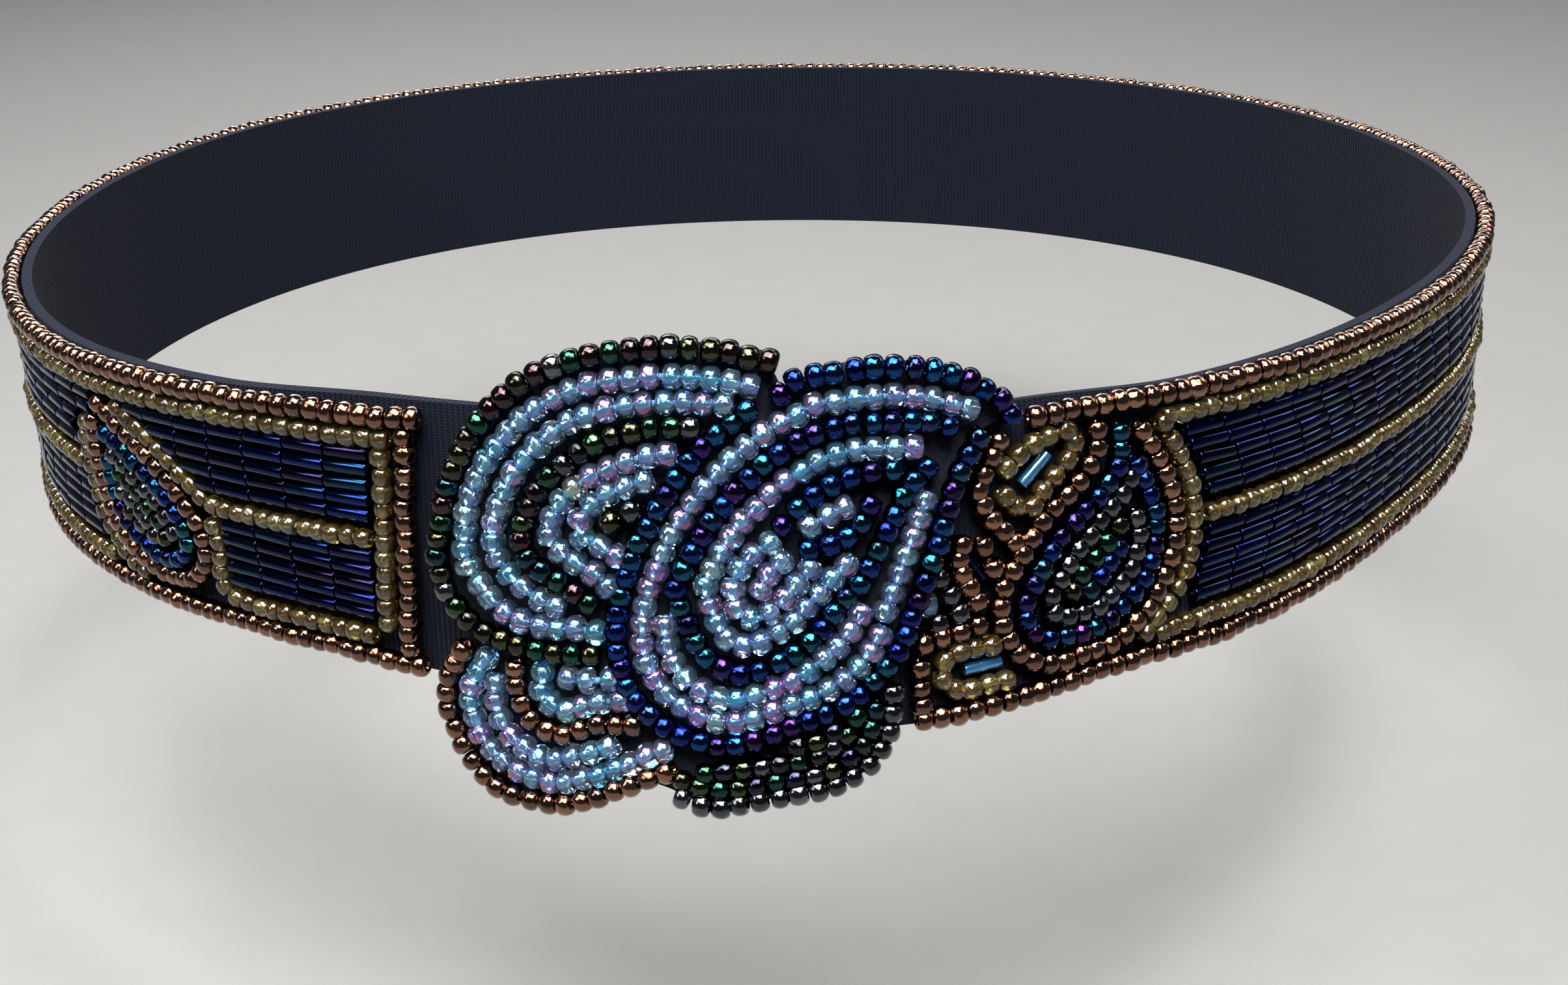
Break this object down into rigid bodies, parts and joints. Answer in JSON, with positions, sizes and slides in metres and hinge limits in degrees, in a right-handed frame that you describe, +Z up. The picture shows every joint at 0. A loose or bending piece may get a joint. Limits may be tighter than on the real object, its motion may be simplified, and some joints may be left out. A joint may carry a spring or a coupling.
{
  "type": "beaded belt",
  "caption": "Fabric belt covered with rows of seed and bugle beads, fastened in a loop, with a raised beaded leaf and petal ornament over its closure.",
  "frame": {"origin": "middle of the waist that the belt goes round, half way up the band", "axes": "+X to the wearer's left, across the belt's widest extent; +Y to the back, so the ornament faces -Y; +Z up"},
  "size_m": [0.2486, 0.2248, 0.0583],
  "materials": {
    "navy_fabric": "ribbed woven ribbon, matt",
    "black_felt": "felt, matt",
    "bronze_bead": "metallic bronze lustre",
    "amber_bead": "transparent, lined",
    "bugle_bead": "dark blue iris lustre",
    "pale_bugle_bead": "pale blue lustre",
    "green_iris_bead": "metallic green iris",
    "blue_iris_bead": "metallic blue iris",
    "clear_bead": "clear with a rainbow coat",
    "hematite_bead": "dark metallic, polished"
  },
  "bodies": {
    "root": {"backing_band": "navy_fabric", "closure_pad": "black_felt", "ornament_base": "black_felt", "bronze_top": "bronze_bead", "bronze_bottom": "bronze_bead", "amber_top": "amber_bead", "amber_middle": "amber_bead", "amber_low": "amber_bead", "bronze_end_column": "bronze_bead", "amber_end_column": "amber_bead", "petal_green_outer": "green_iris_bead", "petal_clear_outer": "clear_bead", "petal_clear_middle": "clear_bead", "petal_green_inner": "green_iris_bead", "petal_clear_inner": "clear_bead", "petal_clear_heart": "clear_bead", "petal_green_heart": "green_iris_bead", "low_bronze_outer": "bronze_bead", "low_clear_outer": "clear_bead", "low_clear_inner": "clear_bead", "low_bronze_inner": "bronze_bead", "low_clear_heart": "clear_bead", "low_clear_end": "clear_bead", "leaf_top": "blue_iris_bead", "leaf_blue_outer": "blue_iris_bead", "leaf_clear_outer": "clear_bead", "leaf_clear_low": "clear_bead", "leaf_clear_right": "clear_bead", "leaf_blue_ring": "blue_iris_bead", "leaf_clear_inner": "clear_bead", "leaf_blue_upper": "blue_iris_bead", "leaf_clear_trio": "clear_bead", "leaf_blue_lower": "blue_iris_bead", "lattice_left": "bronze_bead", "lattice_middle": "bronze_bead", "lattice_low": "bronze_bead", "lattice_post": "bronze_bead", "lattice_short": "bronze_bead", "amber_ring_high": "amber_bead", "amber_ring_low": "amber_bead", "right_leaf_bronze": "bronze_bead", "right_leaf_amber": "amber_bead", "right_leaf_blue": "blue_iris_bead", "left_leaf_bronze": "bronze_bead", "left_leaf_blue": "blue_iris_bead", "left_leaf_amber": "amber_bead", "amber_middle_left": "amber_bead", "amber_low_left": "amber_bead", "loose_bugle_high": "pale_bugle_bead", "loose_bugle_low": "pale_bugle_bead", "bugles_high_front": "bugle_bead", "bugles_low_front": "bugle_bead", "bugles_high_back": "bugle_bead", "bugles_low_back": "bugle_bead", "dark_field": "hematite_bead", "leaf_clear_core": "clear_bead", "right_leaf_core": "hematite_bead", "left_leaf_core": "hematite_bead", "dark_cluster": "hematite_bead"}
  },
  "joints": []
}
